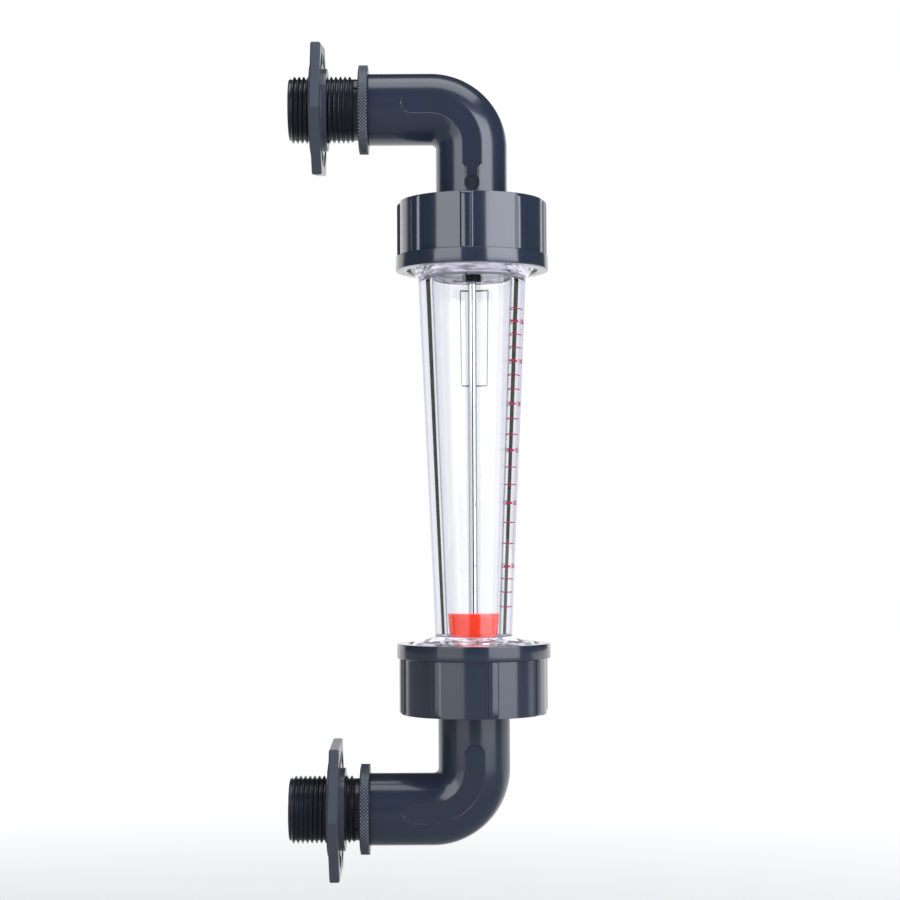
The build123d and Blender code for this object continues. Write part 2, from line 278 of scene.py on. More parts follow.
def loops_mesh(name, loops, closed_section=True, angle=35):
    # A skin over rings of points, each ring with the same count
    count = len(loops[0])
    vertices = [point for loop in loops for point in loop]
    faces = []
    rows = len(loops) if closed_section else len(loops) - 1
    for row in range(rows):
        here = row * count
        there = ((row + 1) % len(loops)) * count
        for i in range(count):
            j = (i + 1) % count
            faces.append((here + i, here + j, there + j, there + i))
    mesh = mesh_of(name, vertices, faces)
    mesh.validate()
    work = bmesh.new()
    work.from_mesh(mesh)
    bmesh.ops.recalc_face_normals(work, faces=work.faces)
    work.to_mesh(mesh)
    work.free()
    shade(mesh, angle)
    return new_object(name, mesh)


def eased(points, radius):
    # A closed outline whose corners are rounded, each over a share of its sides at most
    rounded = []
    count = len(points)
    for i in range(count):
        here = Vector(points[i])
        before = Vector(points[i - 1]) - here
        after = Vector(points[(i + 1) % count]) - here
        reach = min(radius, before.length * EASE_SHARE, after.length * EASE_SHARE)
        start = here + before.normalized() * reach
        end = here + after.normalized() * reach
        for step in range(EASE_STEPS + 1):
            t = step / EASE_STEPS
            rounded.append(start * (1 - t) ** 2 + here * 2 * t * (1 - t) + end * t * t)
    return rounded


def braced(outline, margin=0.3 * MM, shortest=3 * MM):
    # Two more points near the ends of each long straight, so that its shading stays straight
    points = []
    for i, start in enumerate(outline):
        end = outline[(i + 1) % len(outline)]
        points.append(start)
        if (end - start).length > shortest:
            step = (end - start).normalized() * margin
            points += [start + step, end - step]
    return points


def around_tube(radius, z, angle):
    return Vector((TUBE_X + radius * math.cos(angle), radius * math.sin(angle), z))


def around_port(x, radius, angle):
    return Vector((x, radius * math.cos(angle), radius * math.sin(angle)))


def turned_on_tube(name, section, segments, ease, angle=35):
    # A closed section of (radius, z) turned about the tube's axis
    outline = braced(eased(section, ease))
    turns = [2 * math.pi * i / segments for i in range(segments)]
    loops = [[around_tube(r, z, a) for a in turns] for r, z in outline]
    return loops_mesh(name, loops, angle=angle)


def mirrored(obj, name):
    # The moulding's mirror image at the other end
    mesh = obj.data.copy()
    bpy.data.objects.remove(obj)
    mesh.transform(Matrix.Translation((0, 0, PORT_SPACING)) @ Matrix.Scale(-1, 4, (0, 0, 1)))
    mesh.flip_normals()
    return new_object(name, mesh)


def turned_over(obj, name):
    # The same moulding, turned half round to the other end
    mesh = obj.data.copy()
    mesh.transform(Matrix.Translation((0, 0, PORT_SPACING)) @ Matrix.Rotation(math.pi, 4, "X"))
    return new_object(name, mesh)


def gathered(parts):
    # Several pieces as one mesh that is still open to edits
    work = bmesh.new()
    for part in parts:
        work.from_mesh(part.data)
        bpy.data.objects.remove(part)
    return work


def closed_up(name, work, angle=35):
    # The edited mesh as an object
    mesh = bpy.data.meshes.new(name)
    work.to_mesh(mesh)
    work.free()
    shade(mesh, angle)
    return new_object(name, mesh)


def join(name, parts, angle=35):
    return closed_up(name, gathered(parts), angle)


# Elbow: a bent skin with a flat pad sunk into each side, plain at the front and necked at the
# back. The upper elbow is the same moulding turned over, so its necked side is at the front.

BEND_CENTRE = Vector((TUBE_X - BEND_RADIUS, 0, BEND_RADIUS))
RUN_LENGTH = BEND_CENTRE.x - ELBOW_START
BEND_LENGTH = BEND_RADIUS * math.pi / 2
LEG_LENGTH = ELBOW_LEG_TOP - BEND_RADIUS
ELBOW_LENGTH = RUN_LENGTH + BEND_LENGTH + LEG_LENGTH


def centreline(s):
    # Place and outward direction at a distance along the elbow from its collar
    if s < RUN_LENGTH:
        return Vector((ELBOW_START + s, 0, 0)), Vector((0, 0, -1))
    if s < RUN_LENGTH + BEND_LENGTH:
        turn = (s - RUN_LENGTH) / BEND_RADIUS
        outward = Vector((math.sin(turn), 0, -math.cos(turn)))
        return BEND_CENTRE + outward * BEND_RADIUS, outward
    return Vector((TUBE_X, 0, BEND_RADIUS + s - RUN_LENGTH - BEND_LENGTH)), Vector((1, 0, 0))


def along_leg(height):
    return RUN_LENGTH + BEND_LENGTH + height - BEND_RADIUS


def smooth(value):
    t = min(max(value, 0.0), 1.0)
    return t * t * (3 - 2 * t)


def plain_pad_margin(s, a):
    # How far inside the pad with two round ends a point is: s along the bend, a across it
    start = PAD_START - ELBOW_START
    end = along_leg(PLAIN_PAD_TOP - PAD_HALF_WIDTH)
    return PAD_HALF_WIDTH - math.hypot(max(start - s, s - end, 0), a)


def necked_pad_margin(s, a):
    # The same for the other side's pad, which narrows to a neck below the round recess
    start = PAD_START - ELBOW_START
    end = along_leg(PAD_TOP)
    mark = along_leg(MARK_HEIGHT)
    round_end = PAD_HALF_WIDTH - math.hypot(min(s - start, 0), a)
    chamfer = (end - s) - max(abs(a) - (PAD_HALF_WIDTH - PAD_CHAMFER), 0)
    body = min(round_end, end - s, chamfer)
    neck = min(PAD_NECK_HALF - abs(a), mark - s, s - end + PAD_CHAMFER)
    return max(body, neck)


def mark_margin(s, a):
    return MARK_RADIUS - math.hypot(s - along_leg(MARK_HEIGHT), a)


def sunk_point(s, angle):
    # The skin's point at an angle round the pipe, pressed flat inside the pad and mark
    a = ELBOW_RADIUS * math.cos(angle)
    y = ELBOW_RADIUS * math.sin(angle)
    if y > 0:
        pad = smooth(necked_pad_margin(s, a) / PAD_EDGE)
        mark = smooth(mark_margin(s, a) / PAD_EDGE)
    else:
        pad = smooth(plain_pad_margin(s, a) / PAD_EDGE)
        mark = 0
    flat = min(abs(y), abs(y) + pad * (PAD_PLANE - abs(y)))
    flat = min(flat, flat + mark * (MARK_PLANE - flat))
    y = math.copysign(flat, y)
    middle, outward = centreline(s)
    return middle + outward * a + Vector((0, y, 0))


def elbow_angles():
    # Close together across the pads at the front and back, wider elsewhere
    half_pad = math.asin(min(1, (PAD_HALF_WIDTH + 2 * PAD_EDGE) / ELBOW_RADIUS))
    fine = 56
    coarse = 40
    angles = []
    for side in (0, 1):
        middle = math.pi / 2 + side * math.pi
        for i in range(fine):
            angles.append(middle - half_pad + 2 * half_pad * i / fine)
        rest = math.pi - 2 * half_pad
        for i in range(coarse):
            angles.append(middle + half_pad + rest * i / coarse)
    return angles


def make_elbow(name):
    angles = elbow_angles()
    steps = 300
    bevel = [(0, ELBOW_LIP), (0.3 * ELBOW_LIP, 0.3 * ELBOW_LIP), (ELBOW_LIP, 0)]
    loops = []
    for s, drop in bevel + [(ELBOW_LENGTH * i / steps, 0) for i in range(2, steps)]:
        shrink = (ELBOW_RADIUS - drop) / ELBOW_RADIUS
        middle, outward = centreline(s)
        loops.append([middle + (sunk_point(s, a) - middle) * shrink for a in angles])
    middle, outward = centreline(ELBOW_LENGTH)
    loops.append([sunk_point(ELBOW_LENGTH, a) for a in angles])
    bore_steps = 48
    for i in reversed(range(bore_steps + 1)):
        s = ELBOW_LENGTH * i / bore_steps
        middle, outward = centreline(s)
        ring = []
        for a in angles:
            across = outward * math.cos(a) * ELBOW_BORE_RADIUS
            ring.append(middle + across + Vector((0, ELBOW_BORE_RADIUS * math.sin(a), 0)))
        loops.append(ring)
    return loops_mesh(name, loops)


# Nipple: a true helical thread, a smooth undercut and a knurled collar


def thread_ring(turn, ridge):
    # A point of the thread: turn counts pitches from the free end, ridge is 0 at its root
    x = NIPPLE_FREE_END + turn * THREAD_PITCH
    if x <= NIPPLE_FREE_END:
        return NIPPLE_FREE_END, THREAD_ROOT
    if x >= -UNDERCUT:
        return -UNDERCUT, UNDERCUT_RADIUS
    run_out = smooth((-UNDERCUT - x) / THREAD_FADE)
    lead_in = smooth((x - NIPPLE_FREE_END) / THREAD_FADE)
    floor = THREAD_ROOT * run_out + UNDERCUT_RADIUS * (1 - run_out)
    height = (THREAD_RADIUS - THREAD_ROOT) * ridge * run_out * lead_in
    return x, min(floor + height, THREAD_RADIUS)


def thread_skin(around, hand):
    # Rows that climb with the helix, so its crests and roots are true edges of the mesh.
    # The profile gives the ridge's height at parts of one pitch: root, flank, crest, flank.
    flank_up = ((0.0, 0.0), (0.1, 0.0), (0.42, 0.95))
    crest = ((0.475, 1.0), (0.545, 1.0))
    flank_down = ((0.6, 0.95), (0.92, 0.0))
    profile = flank_up + crest + flank_down
    length = -UNDERCUT - NIPPLE_FREE_END
    turns = range(-1, math.ceil(length / THREAD_PITCH) + 1)
    rows = [(turn + part, ridge) for turn in turns for part, ridge in profile]
    vertices = []
    for start, ridge in rows:
        for i in range(around + 1):
            x, radius = thread_ring(start + i / around, ridge)
            vertices.append(around_port(x, radius, hand * 2 * math.pi * i / around))
    faces = []
    for row in range(len(rows) - 1):
        here = row * (around + 1)
        there = here + around + 1
        for i in range(around):
            faces.append((here + i, here + i + 1, there + i + 1, there + i))
    return new_object("thread", mesh_of("thread", vertices, faces))


def make_nipple(name, hand):
    around = 128
    turns = [2 * math.pi * i / around for i in range(around)]
    collar_skin = COLLAR_RADIUS - KNURL_DEPTH
    plain = [
        (-UNDERCUT, UNDERCUT_RADIUS),
        (0.0, UNDERCUT_RADIUS),
        (0.0, collar_skin - COLLAR_CHAMFER),
        (COLLAR_CHAMFER, collar_skin),
        (COLLAR_THICKNESS - COLLAR_CHAMFER, collar_skin),
        (COLLAR_THICKNESS, collar_skin - COLLAR_CHAMFER),
        (COLLAR_THICKNESS, SPIGOT_RADIUS),
        (NIPPLE_INNER_END, SPIGOT_RADIUS),
        (NIPPLE_INNER_END, PORT_BORE_RADIUS),
        (NIPPLE_FREE_END, PORT_BORE_RADIUS),
        (NIPPLE_FREE_END, THREAD_ROOT),
    ]
    loops = [[around_port(x, r, a) for a in turns] for x, r in plain]
    body = loops_mesh(name, loops, closed_section=False)
    work = gathered((body, thread_skin(around, hand)))
    bmesh.ops.remove_doubles(work, verts=work.verts, dist=1e-7)
    bmesh.ops.dissolve_degenerate(work, dist=1e-7, edges=work.edges)
    bmesh.ops.recalc_face_normals(work, faces=work.faces)
    return closed_up(name, work, KNURL_SHADING)


# Node helpers


def feed(tree, socket, value):
    # A socket takes another node's output or a constant
    if isinstance(value, bpy.types.NodeSocket):
        tree.links.new(value, socket)
    else:
        socket.default_value = value


def add_node(tree, kind, output=0, **inputs):
    # A new node with its inputs filled, handed on as one of its outputs
    made = tree.nodes.new(kind)
    for label, value in inputs.items():
        feed(tree, made.inputs[label.replace("_", " ")], value)
    return made.outputs[output]


def calculate(tree, operation, *values):
    made = tree.nodes.new("ShaderNodeMath")
    made.operation = operation
    for socket, value in zip(made.inputs, values):
        feed(tree, socket, value)
    return made.outputs[0]


class NodeTree:
    # A geometry node tree with named number inputs, wired by short calls
    def __init__(self, name, **sizes):
        self.tree = bpy.data.node_groups.new(name, "GeometryNodeTree")
        face = self.tree.interface
        self.identifiers = {}
        self.sizes = sizes
        for label in sizes:
            socket = face.new_socket(label, in_out="INPUT", socket_type="NodeSocketFloat")
            self.identifiers[label] = socket.identifier
        face.new_socket("Geometry", in_out="OUTPUT", socket_type="NodeSocketGeometry")
        self.start = self.tree.nodes.new("NodeGroupInput")
        self.end = self.tree.nodes.new("NodeGroupOutput")

    def size(self, label):
        return self.start.outputs[label]

    def node(self, kind, **inputs):
        return add_node(self.tree, kind, **inputs)

    def math(self, operation, *values):
        return calculate(self.tree, operation, *values)

    def vector(self, x, y, z):
        return self.node("ShaderNodeCombineXYZ", X=x, Y=y, Z=z)

    def finish(self, geometry, material):
        # Realize, give the material and turn the result into a plain mesh
        real = self.node("GeometryNodeRealizeInstances", Geometry=geometry)
        painted = self.node("GeometryNodeSetMaterial", Geometry=real, Material=material)
        self.tree.links.new(painted, self.end.inputs[0])
        name = self.tree.name
        maker = new_object(name + "_maker", bpy.data.meshes.new(name + "_start"))
        modifier = maker.modifiers.new(name, "NODES")
        modifier.node_group = self.tree
        for label, value in self.sizes.items():
            modifier[self.identifiers[label]] = float(value)
        graph = bpy.context.evaluated_depsgraph_get()
        mesh = bpy.data.meshes.new_from_object(maker.evaluated_get(graph))
        maker.modifiers.clear()
        bpy.data.objects.remove(maker)
        return new_object(name, mesh)


def knurl_stud(group):
    # A low four-sided stud with steep flanks and a shallow cap
    calc = group.math
    pitch = group.size("pitch")
    waist = calc("MULTIPLY", pitch, STUD_WAIST)
    flank = calc("MULTIPLY", group.size("depth"), STUD_FLANK)
    foot = group.node(
        "GeometryNodeMeshCone",
        Vertices=4,
        Radius_Top=waist,
        Radius_Bottom=calc("MULTIPLY", pitch, STUD_FOOT),
        Depth=flank,
    )
    head = group.node(
        "GeometryNodeMeshCone",
        Vertices=4,
        Radius_Top=calc("MULTIPLY", pitch, STUD_TOP),
        Radius_Bottom=waist,
        Depth=calc("MULTIPLY", group.size("depth"), 1 - STUD_FLANK),
    )
    lift = group.vector(0.0, 0.0, flank)
    raised = group.node("GeometryNodeTransform", Geometry=head, Translation=lift)
    stud = group.node("GeometryNodeJoinGeometry", Geometry=foot)
    group.tree.links.new(raised, stud.node.inputs["Geometry"])
    return stud


def make_knurl(name, material):
    # Studs in staggered rows round the collar
    group = NodeTree(
        name,
        around=KNURL_AROUND,
        pitch=KNURL_PITCH,
        start=COLLAR_THICKNESS / 2 - KNURL_PITCH * (KNURL_ROWS - 1) / 4,
        radius=COLLAR_RADIUS - KNURL_DEPTH,
        depth=KNURL_DEPTH,
    )
    size = group.size
    calc = group.math
    total = calc("MULTIPLY", size("around"), float(KNURL_ROWS))
    points = group.node("GeometryNodeMeshLine", Count=total)
    index = group.node("GeometryNodeInputIndex")
    row = calc("FLOOR", calc("DIVIDE", index, size("around")))
    staggered = calc("ADD", index, calc("MULTIPLY", row, 0.5))
    angle = calc("MULTIPLY", calc("DIVIDE", staggered, size("around")), 2 * math.pi)
    along = calc("MULTIPLY", row, calc("MULTIPLY", size("pitch"), 0.5))
    x = calc("ADD", size("start"), along)
    y = calc("MULTIPLY", size("radius"), calc("SINE", angle))
    z = calc("MULTIPLY", size("radius"), calc("COSINE", angle))
    placed = group.node(
        "GeometryNodeSetPosition", Geometry=points, Position=group.vector(x, y, z)
    )
    turned = group.node(
        "FunctionNodeAxisAngleToRotation", Axis=(1, 0, 0), Angle=calc("MULTIPLY", angle, -1.0)
    )
    stud = knurl_stud(group)
    studs = group.node(
        "GeometryNodeInstanceOnPoints", Points=placed, Instance=stud, Rotation=turned
    )
    return group.finish(studs, material)


def make_gate():
    # The moulding gate, a small block left standing in the undercut
    low = UNDERCUT_RADIUS - GATE_SUNK
    high = UNDERCUT_RADIUS + GATE_HEIGHT
    turn = GATE_HALF_WIDTH / UNDERCUT_RADIUS
    vertices = []
    for x in (-UNDERCUT - 0.05 * MM, 0.1 * MM):
        for radius in (low, high):
            for angle in (GATE_ANGLE - turn, GATE_ANGLE + turn):
                vertices.append(around_port(x, radius, angle))
    faces = [(0, 1, 3, 2), (4, 6, 7, 5), (0, 4, 5, 1), (2, 3, 7, 6), (0, 2, 6, 4), (1, 5, 7, 3)]
    mesh = mesh_of("gate", vertices, faces)
    work = bmesh.new()
    work.from_mesh(mesh)
    bmesh.ops.recalc_face_normals(work, faces=work.faces)
    bmesh.ops.bevel(
        work, geom=list(work.edges), offset=GATE_EASE, segments=3, profile=0.5, affect="EDGES"
    )
    work.to_mesh(mesh)
    work.free()
    return new_object("gate", mesh)


def nipple_with_knurl(name, hand):
    knurl = make_knurl("collar_knurl", nipple_plastic)
    return join(name, [make_nipple("plain_nipple", hand), knurl, make_gate()], KNURL_SHADING)


# Union nut: ribbed body, plain band, open inside


def rib_angles(phase):
    # Samples round the nut, close together at the sides of each rib
    side = RIB_SIDE / RIB_RADIUS
    half = RIB_HALF_WIDTH / RIB_RADIUS
    pitch = 2 * math.pi / RIB_COUNT
    side_steps = 8
    gap_steps = 14
    across = [side * i / side_steps - side / 2 for i in range(side_steps + 1)]
    offsets = [-half + step for step in across] + [half + step for step in across]
    start = half + side / 2
    gap = pitch - 2 * start
    offsets += [start + gap * i / gap_steps for i in range(1, gap_steps)]
    return [phase + pitch * rib + offset for rib in range(RIB_COUNT) for offset in offsets]


def ribbed_radius(angle, phase):
    pitch = 2 * math.pi / RIB_COUNT
    away = abs((angle - phase + pitch / 2) % pitch - pitch / 2) * RIB_RADIUS
    rise = smooth((RIB_HALF_WIDTH - away) / RIB_SIDE + 0.5)
    return PANEL_RADIUS + (RIB_RADIUS - PANEL_RADIUS) * rise


def make_union_nut(name, phase):
    angles = rib_angles(phase)
    band_bottom = NUT_TOP - BAND_HEIGHT
    loops = []

    def ring(z, radius):
        loops.append([around_tube(radius, z, a) for a in angles])

    def ribbed_ring(z, limit, grow=0.0):
        radii = [min(ribbed_radius(a, phase) + grow, limit) for a in angles]
        loops.append([around_tube(r, z, a) for r, a in zip(radii, angles)])

    ring(NUT_BOTTOM + NUT_CHAMFER, NUT_HOLE_RADIUS)
    ring(NUT_BOTTOM, NUT_HOLE_RADIUS + NUT_LIP)
    ring(NUT_BOTTOM, RIB_RADIUS - NUT_CORNER - NUT_LAND)
    corner_steps = 10
    for i in range(corner_steps + 1):
        turn = math.pi / 2 * i / corner_steps
        limit = RIB_RADIUS - NUT_CORNER + NUT_CORNER * math.sin(turn)
        ribbed_ring(NUT_BOTTOM + NUT_CORNER * (1 - math.cos(turn)), limit)
    low = NUT_BOTTOM + NUT_CORNER
    side = band_bottom - 0.5 * MM - low
    side_steps = 6
    for i in range(1, side_steps + 1):
        ribbed_ring(low + side * i / side_steps, BAND_RADIUS)
    fillet_steps = 4
    for i in range(fillet_steps + 1):
        turn = math.pi / 2 * i / fillet_steps
        lift = BAND_FILLET * math.sin(turn)
        grow = BAND_FILLET * (1 - math.cos(turn))
        ribbed_ring(band_bottom - BAND_FILLET + lift, BAND_RADIUS, grow)
    profile = [
        (BAND_RADIUS, band_bottom),
        (BAND_RADIUS, NUT_TOP),
        (NUT_THREAD_RADIUS + NUT_CHAMFER, NUT_TOP),
        (NUT_THREAD_RADIUS, NUT_TOP - NUT_MOUTH),
        (NUT_THREAD_RADIUS, NUT_CAVITY_TOP),
        (NUT_CAVITY_RADIUS, NUT_CAVITY_TOP),
        (NUT_CAVITY_RADIUS, NUT_WALL_TOP),
        (NUT_HOLE_RADIUS, NUT_WALL_TOP),
    ]
    # Without the first corner, where the ribs end
    soft = eased([(RIB_RADIUS, band_bottom)] + profile, NUT_EASE)
    for r, z in soft[EASE_STEPS + 1:]:
        ring(z, r)
    return loops_mesh(name, loops, angle=40)


# Locknut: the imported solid, its triangles merged and its edges eased


def eased_solid(name, node):
    mesh = nodes[node].data.copy()
    mesh.materials.clear()
    work = bmesh.new()
    work.from_mesh(mesh)
    bmesh.ops.remove_doubles(work, verts=work.verts, dist=1e-6)
    bmesh.ops.dissolve_limit(
        work, angle_limit=math.radians(0.5), verts=work.verts, edges=work.edges
    )
    work.to_mesh(mesh)
    work.free()
    obj = new_object(name, mesh)
    shade(mesh, 30)
    bevel = obj.modifiers.new("eased edges", "BEVEL")
    bevel.width = LOCKNUT_EASE
    bevel.segments = 3
    bevel.limit_method = "ANGLE"
    bevel.angle_limit = math.radians(40)
    bevel.harden_normals = True
    return obj


# Measuring tube, float and rod


def make_tube(name):
    upper_root = PORT_SPACING - FLARE_ROOT
    section = [
        (LOWER_SEAT_RADIUS, TUBE_BOTTOM),
        (TUBE_THREAD_RADIUS, TUBE_BOTTOM),
        (TUBE_THREAD_RADIUS, SHOULDER),
        (FLARE_TIP_RADIUS, FLARE_TIP),
        (outer_radius(FLARE_ROOT), FLARE_ROOT),
        (outer_radius(upper_root), upper_root),
        (FLARE_TIP_RADIUS, PORT_SPACING - FLARE_TIP),
        (TUBE_THREAD_RADIUS, PORT_SPACING - SHOULDER),
        (TUBE_THREAD_RADIUS, TUBE_TOP),
        (UPPER_FLANGE_RADIUS, TUBE_TOP),
        (UPPER_FLANGE_RADIUS, UPPER_FLANGE),
        (UPPER_SEAT_RADIUS, UPPER_FLANGE),
        (UPPER_SEAT_RADIUS, UPPER_SEAT),
        (bore_radius(UPPER_SEAT), UPPER_SEAT),
        (bore_radius(LOWER_SEAT), LOWER_SEAT),
        (LOWER_SEAT_RADIUS, LOWER_SEAT),
    ]
    return turned_on_tube(name, section, segments=256, ease=TUBE_EASE, angle=60)


def make_float(name):
    section = [
        (FLOAT_HOLE, float_low.z),
        (FLOAT_BASE_RADIUS, float_low.z),
        (FLOAT_RADIUS, float_high.z - FLOAT_LIP),
        (FLOAT_RADIUS, float_high.z),
        (FLOAT_HOLE, float_high.z),
    ]
    return turned_on_tube(name, section, segments=128, ease=FLOAT_EASE)


def make_rod(name):
    near_axis = 0.02 * MM
    section = [
        (near_axis, rod_low.z),
        (ROD_END_RADIUS, rod_low.z),
        (ROD_END_RADIUS, LOWER_SEAT),
        (ROD_RADIUS, LOWER_SEAT),
        (ROD_RADIUS, UPPER_SEAT),
        (ROD_END_RADIUS, UPPER_SEAT),
        (ROD_END_RADIUS, rod_high.z),
        (near_axis, rod_high.z),
    ]
    return turned_on_tube(name, section, segments=64, ease=ROD_EASE)


# Scale: printed ticks and numbers that lie on the tube's outside


def flow_height(flow):
    # Height of the mark for a flow; the marks close up toward the wide end
    return SCALE_ZERO + SCALE_RISE * (flow / FLOW_PER_NUMBER) ** SCALE_POWER


def printed_bars(name, material, heights, turn, sweep, height, steps=10):
    # Bars of print at the given heights, each wrapped round the outside of the tube
    group = NodeTree(
        name,
        turn=turn,
        sweep=sweep,
        height=height,
        thickness=TICK_THICKNESS,
        lift=PRINT_LIFT,
        axis=TUBE_X,
        low_radius=OUTER_AT_LOW,
        low_height=TAPER_LOW,
        slope=OUTER_SLOPE,
    )
    size = group.size
    calc = group.math
    bar = group.node(
        "GeometryNodeMeshCube",
        Size=group.vector(size("sweep"), size("thickness"), size("height")),
        Vertices_X=steps,
    )
    bars = group.tree.nodes.new("GeometryNodeJoinGeometry")
    for z in heights:
        at = group.vector(size("turn"), size("lift"), float(z))
        moved = group.node("GeometryNodeTransform", Geometry=bar, Translation=at)
        group.tree.links.new(moved, bars.inputs[0])
    position = group.node("GeometryNodeInputPosition")
    flat = group.node("ShaderNodeSeparateXYZ", Vector=position).node.outputs
    level = flat["Z"]
    rise = calc("MULTIPLY", calc("SUBTRACT", level, size("low_height")), size("slope"))
    outward = calc("ADD", flat["Y"], size("thickness"))
    radius = calc("ADD", calc("ADD", size("low_radius"), rise), outward)
    x = calc("ADD", size("axis"), calc("MULTIPLY", radius, calc("SINE", flat["X"])))
    y = calc("MULTIPLY", calc("MULTIPLY", radius, calc("COSINE", flat["X"])), -1.0)
    at = group.vector(x, y, level)
    wrapped = group.node("GeometryNodeSetPosition", Geometry=bars.outputs[0], Position=at)
    return group.finish(wrapped, material)


def make_number(text, z):
    # A plain number wrapped on the tube, read from the side of the scale
    curve = bpy.data.curves.new("number", "FONT")
    curve.body = text
    curve.size = NUMBER_SIZE
    curve.extrude = TICK_THICKNESS / 2
    curve.align_x = "LEFT"
    curve.align_y = "CENTER"
    source = new_object("number", curve)
    bpy.context.view_layer.update()
    mesh = bpy.data.meshes.new_from_object(source)
    bpy.data.objects.remove(source)
    for vertex in mesh.vertices:
        height = z + vertex.co.y
        turn = SCALE_NUMBER + vertex.co.x / outer_radius(height)
        radius = outer_radius(height) + vertex.co.z + TICK_THICKNESS / 2 + PRINT_LIFT
        vertex.co = around_tube(radius, height, turn - math.pi / 2)
    return new_object("number", mesh)


def make_scale(name, material):
    numbered = range(FLOW_PER_NUMBER, LAST_FLOW, FLOW_PER_NUMBER)
    ticks = range(FLOW_PER_NUMBER, LAST_FLOW + 1, FLOW_PER_TICK)
    plain = [flow for flow in ticks if flow not in numbered]
    plain += range(FIRST_FLOW, FLOW_PER_NUMBER, FLOW_PER_TICK // 2)
    minor = [flow_height(flow) for flow in plain]
    major = [flow_height(flow) for flow in numbered]
    middle = SCALE_START + SCALE_MINOR / 2
    parts = [printed_bars(name + "_minor", material, minor, middle, SCALE_MINOR, MINOR_HEIGHT)]
    middle = SCALE_START + SCALE_MAJOR / 2
    parts.append(printed_bars(name + "_major", material, major, middle, SCALE_MAJOR, MAJOR_HEIGHT))
    for flow in numbered:
        parts.append(make_number(str(flow), flow_height(flow)))
    return join(name, parts)


def make_label_frame(name, material):
    # The plain printed frame of the label, on the far side of the tube
    widest = outer_radius(FRAME_TOP)
    half = FRAME_HALF_WIDTH / widest
    across = printed_bars(
        name + "_across", material, [FRAME_BOTTOM, FRAME_TOP], FRAME_TURN, 2 * half, FRAME_LINE, 24
    )
    middle = [(FRAME_BOTTOM + FRAME_TOP) / 2]
    tall = FRAME_TOP - FRAME_BOTTOM
    line = FRAME_LINE / widest
    left = printed_bars(name + "_left", material, middle, FRAME_TURN - half, line, tall, 2)
    right = printed_bars(name + "_right", material, middle, FRAME_TURN + half, line, tall, 2)
    return join(name, [across, left, right])


# Materials


def shader(name, **sockets):
    # A material with its principled shader and a way to reach its nodes
    material = bpy.data.materials.new(name)
    material.use_nodes = True
    tree = material.node_tree
    principled = tree.nodes["Principled BSDF"]
    for socket, value in sockets.items():
        principled.inputs[socket.replace("_", " ")].default_value = value
    return material, tree, principled


def drive(tree, principled, **sockets):
    # Varying values for the shader's sockets
    for socket, value in sockets.items():
        tree.links.new(value, principled.inputs[socket.replace("_", " ")])


def noise(tree, scale, detail, stretch=(1, 1, 1)):
    coordinates = tree.nodes.new("ShaderNodeTexCoord").outputs["Object"]
    at = add_node(tree, "ShaderNodeMapping", Vector=coordinates, Scale=stretch)
    return add_node(tree, "ShaderNodeTexNoise", "Fac", Vector=at, Scale=scale, Detail=detail)


def spread(tree, factor, low, high):
    return add_node(tree, "ShaderNodeMapRange", Value=factor, To_Min=low, To_Max=high)


def blend_colours(tree, factor, dark, light):
    mix = tree.nodes.new("ShaderNodeMix")
    mix.data_type = "RGBA"
    mix.inputs["A"].default_value = (*dark, 1)
    mix.inputs["B"].default_value = (*light, 1)
    tree.links.new(factor, mix.inputs["Factor"])
    return mix.outputs["Result"]


def band(tree, value, span, before, after):
    # A soft step from one value to another over the span
    step = spread(tree, value, before, after)
    step.node.interpolation_type = "SMOOTHSTEP"
    step.node.inputs["From Min"].default_value = span[0]
    step.node.inputs["From Max"].default_value = span[1]
    return step


def switched(tree, value, off, on):
    return band(tree, value, (0.0, 1.0), off, on)


def combine(tree, operation, first, *others):
    # All the values joined by one operation
    for other in others:
        first = calculate(tree, operation, first, other)
    return first


def bump(tree, principled, height, strength, distance):
    normal = add_node(
        tree, "ShaderNodeBump", Height=height, Strength=strength, Distance=distance
    )
    drive(tree, principled, Normal=normal)


def moulded_plastic(
    name, colour, roughness, mottling=0.1, orange_peel=0.06, grain=0.05, skin=0.0
):
    # Moulded plastic: faint mottling, uneven gloss and a slightly wavy, shiny skin
    material, tree, principled = shader(
        name, IOR=PLASTIC_INDEX, Coat_Weight=skin, Coat_Roughness=0.09
    )
    dark = [c * (1 - mottling) for c in colour]
    light = [c * (1 + mottling) for c in colour]
    colours = blend_colours(tree, noise(tree, 60, 4), dark, light)
    gloss = spread(tree, noise(tree, 220, 5), roughness * 0.8, roughness * 1.25)
    drive(tree, principled, Base_Color=colours, Roughness=gloss)
    wave = noise(tree, 180, 2)
    height = calculate(tree, "MULTIPLY_ADD", noise(tree, 2600, 2), grain, wave)
    bump(tree, principled, height, orange_peel, 0.4 * MM)
    return material


def fluoresce(material, colour, strength):
    # Painted light: the float is given a little glow of its own, which brightens its
    # daylight-bright pigment
    principled = material.node_tree.nodes["Principled BSDF"]
    principled.inputs["Emission Color"].default_value = (*colour, 1)
    principled.inputs["Emission Strength"].default_value = strength
    principled.inputs["Specular Tint"].default_value = (*WARM_GLOSS, 1)


